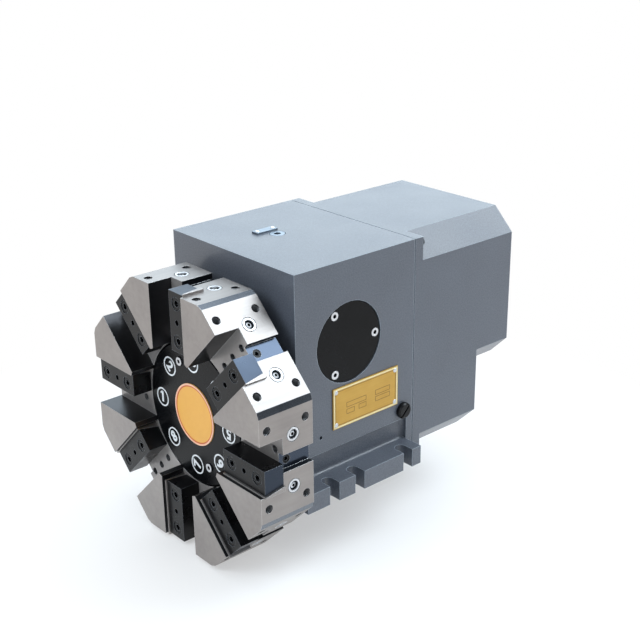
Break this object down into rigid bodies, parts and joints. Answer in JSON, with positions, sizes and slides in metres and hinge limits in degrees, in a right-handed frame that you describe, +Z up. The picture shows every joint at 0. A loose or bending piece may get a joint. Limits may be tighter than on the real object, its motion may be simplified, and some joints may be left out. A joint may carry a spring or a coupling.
{
  "type": "lathe tool turret",
  "caption": "Disc-type lathe tool turret: a slotted tool disc with wedge clamps turns and locks on a cast housing with mounting feet and a bevelled motor cover.",
  "frame": {"origin": "middle of the mounting face under the feet", "axes": "+Z up, +X along the spindle from the tool disc towards the motor cover, -Y towards the nameplate side"},
  "size_m": [0.3024, 0.221, 0.238],
  "materials": {
    "paint": "fine textured blue-grey paint",
    "ground_steel": "ground",
    "tooth_steel": "machined and oiled",
    "bright_steel": "bright",
    "black_steel": "black oxide, satin",
    "brass": "satin",
    "plate": "satin",
    "badge": "satin",
    "black_plastic": "satin",
    "rubber": "matt",
    "motor_paint": "satin"
  },
  "bodies": {
    "base": {"housing": "paint", "rear_cover": "paint", "rear_cover_screws": "black_steel", "side_cover": "black_steel", "side_cover_screws": "bright_steel", "side_cover_gasket": "rubber", "nameplate": "brass", "direction_plate": "plate", "plate_rivets": "bright_steel", "filler_plug": "bright_steel", "blanking_plug": "black_plastic", "fixed_tooth_ring": "tooth_steel", "fixed_ring_screws": "black_steel", "front_seal": "rubber", "bearing_sleeve": "tooth_steel", "sleeve_screws": "black_steel", "bearing_outer_rings": "bright_steel", "motor_body": "motor_paint", "motor_screws": "black_steel", "encoder_body": "black_plastic", "encoder_bracket": "tooth_steel", "encoder_screws": "black_steel", "guide_pins": "bright_steel"},
    "turret": {"tool_disc": "ground_steel", "disc_tooth_ring": "tooth_steel", "disc_screws": "black_steel", "hub_cover": "black_steel", "hub_badge": "badge", "hub_cover_screws": "bright_steel", "gib_plates": "ground_steel", "coolant_plugs": "bright_steel", "groove_screws": "black_steel", "spindle": "tooth_steel", "spindle_nut": "black_steel", "bearing_inner_rings": "bright_steel", "bearing_balls": "bright_steel", "encoder_coupling": "bright_steel"},
    "lock": {"lock_ring": "tooth_steel"},
    "cam": {"cam_gear": "tooth_steel", "cam_rollers": "bright_steel"},
    "pinion": {"motor_pinion": "tooth_steel"},
    "clamp_1": {"clamp_bar_1": "black_steel", "clamp_screws_1": "black_steel"},
    "clamp_2": {"clamp_bar_2": "black_steel", "clamp_screws_2": "black_steel"},
    "clamp_3": {"clamp_bar_3": "black_steel", "clamp_screws_3": "black_steel"},
    "clamp_4": {"clamp_bar_4": "black_steel", "clamp_screws_4": "black_steel"},
    "clamp_5": {"clamp_bar_5": "black_steel", "clamp_screws_5": "black_steel"},
    "clamp_6": {"clamp_bar_6": "black_steel", "clamp_screws_6": "black_steel"},
    "clamp_7": {"clamp_bar_7": "black_steel", "clamp_screws_7": "black_steel"},
    "clamp_8": {"clamp_bar_8": "black_steel", "clamp_screws_8": "black_steel"}
  },
  "joints": [
    {"name": "turret_index", "type": "hinge", "parent": "base", "child": "turret", "pos_m": [0, 0, 0.063], "axis": [1, 0, 0], "continuous": true},
    {"name": "cam_turn", "type": "hinge", "parent": "base", "child": "cam", "pos_m": [0, 0, 0.063], "axis": [1, 0, 0], "continuous": true},
    {"name": "pinion_turn", "type": "hinge", "parent": "base", "child": "pinion", "pos_m": [0, 0, 0.121], "axis": [1, 0, 0], "continuous": true},
    {"name": "lock_slide", "type": "slide", "parent": "base", "child": "lock", "axis": [-1, 0, 0], "range_m": [0, 0.0039]},
    {"name": "clamp_1_slide", "type": "slide", "parent": "turret", "child": "clamp_1", "axis": [-1, 0, 0], "range_m": [0, 0.003]},
    {"name": "clamp_2_slide", "type": "slide", "parent": "turret", "child": "clamp_2", "axis": [-1, 0, 0], "range_m": [0, 0.003]},
    {"name": "clamp_3_slide", "type": "slide", "parent": "turret", "child": "clamp_3", "axis": [-1, 0, 0], "range_m": [0, 0.003]},
    {"name": "clamp_4_slide", "type": "slide", "parent": "turret", "child": "clamp_4", "axis": [-1, 0, 0], "range_m": [0, 0.003]},
    {"name": "clamp_5_slide", "type": "slide", "parent": "turret", "child": "clamp_5", "axis": [-1, 0, 0], "range_m": [0, 0.003]},
    {"name": "clamp_6_slide", "type": "slide", "parent": "turret", "child": "clamp_6", "axis": [-1, 0, 0], "range_m": [0, 0.003]},
    {"name": "clamp_7_slide", "type": "slide", "parent": "turret", "child": "clamp_7", "axis": [-1, 0, 0], "range_m": [0, 0.003]},
    {"name": "clamp_8_slide", "type": "slide", "parent": "turret", "child": "clamp_8", "axis": [-1, 0, 0], "range_m": [0, 0.003]}
  ],
  "couplings": [
    {"joint": "cam_turn", "follows": "turret_index", "ratio": 1},
    {"joint": "pinion_turn", "follows": "turret_index", "ratio": -3.1429}
  ]
}
